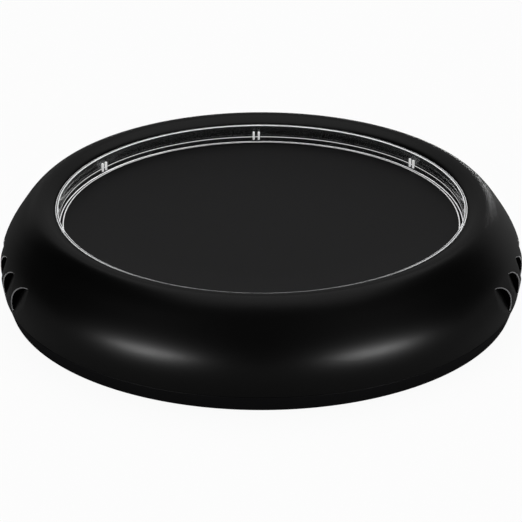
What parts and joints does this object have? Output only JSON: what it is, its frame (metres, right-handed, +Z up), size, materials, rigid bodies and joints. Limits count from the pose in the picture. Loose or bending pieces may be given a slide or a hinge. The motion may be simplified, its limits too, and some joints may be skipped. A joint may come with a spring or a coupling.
{
  "type": "mug warmer",
  "caption": "Round electric mug warmer: rounded black housing with a sunk warming plate inside a clear ring, side gills, rear rocker switch and cord gland.",
  "frame": {"origin": "on the table, under the middle of the warmer", "axes": "+Z up; the user sits on the -Y side, the cord leaves at +Y"},
  "size_m": [0.13, 0.13, 0.028],
  "materials": {
    "housing_plastic": "satin moulded black",
    "base_plastic": "fine textured black",
    "clear_plastic": "clear polished",
    "plate_coating": "matte non-stick coating",
    "silicone": "matte",
    "mica": "flaky sheet",
    "resistance_alloy": "flat rolled",
    "fibre_felt": "felted",
    "plated_steel": "zinc plated",
    "ceramic": "fired",
    "aluminium_cup": "drawn",
    "phenolic": "moulded",
    "brass_contact": "stamped",
    "fuse_case": "tinned",
    "glass_sleeve": "braided",
    "foot_rubber": "matte",
    "gland_rubber": "matte",
    "switch_plastic": "semi-gloss",
    "rocker_plastic": "semi-gloss",
    "block_plastic": "natural nylon",
    "board_laminate": "solder mask",
    "lamp_resin": "encapsulated",
    "resistor_body": "lacquered",
    "live_lead": "silicone insulation",
    "neutral_lead": "silicone insulation",
    "lamp_lead": "silicone insulation"
  },
  "bodies": {
    "housing": {"top_cover": "housing_plastic", "light_ring": "clear_plastic", "warming_plate": "plate_coating", "plate_seal": "silicone", "mica_top_sheet": "mica", "heating_ribbon": "resistance_alloy", "mica_bottom_sheet": "mica", "insulation_pad": "fibre_felt", "heater_terminals": "plated_steel", "terminal_beads": "ceramic", "clamp_plate": "plated_steel", "clamp_screws": "plated_steel", "thermostat_cap": "aluminium_cup", "thermostat_body": "phenolic", "thermostat_bracket": "plated_steel", "thermostat_screws": "plated_steel", "thermostat_terminals": "brass_contact", "thermal_fuse": "fuse_case", "fuse_sleeve": "glass_sleeve", "fuse_ferrules": "brass_contact", "fuse_clip": "plated_steel", "fuse_clip_screws": "plated_steel", "base_cover": "base_plastic", "housing_screws": "plated_steel", "foot_rear_right": "foot_rubber", "foot_rear_left": "foot_rubber", "foot_front_left": "foot_rubber", "foot_front_right": "foot_rubber", "switch_housing": "switch_plastic", "switch_terminals": "brass_contact", "cord_gland": "gland_rubber", "terminal_block": "block_plastic", "terminal_inserts": "brass_contact", "terminal_screws": "plated_steel", "block_screw": "plated_steel", "lamp_board": "board_laminate", "board_lamps": "lamp_resin", "board_resistors": "resistor_body", "board_screws": "plated_steel", "switch_connectors": "brass_contact", "thermostat_connectors": "brass_contact", "lead_block_to_switch": "live_lead", "lead_switch_to_thermostat": "live_lead", "lead_thermostat_to_fuse": "live_lead", "lead_fuse_to_heater": "live_lead", "lead_block_to_heater": "neutral_lead", "lamp_leads": "lamp_lead"},
    "rocker": {"switch_rocker": "rocker_plastic"}
  },
  "joints": [
    {"name": "rocker_tilt", "type": "hinge", "parent": "housing", "child": "rocker", "pos_m": [0.02806, 0.05506, 0.012], "axis": [0, 0, 1], "range_deg": [-20, 0]}
  ]
}
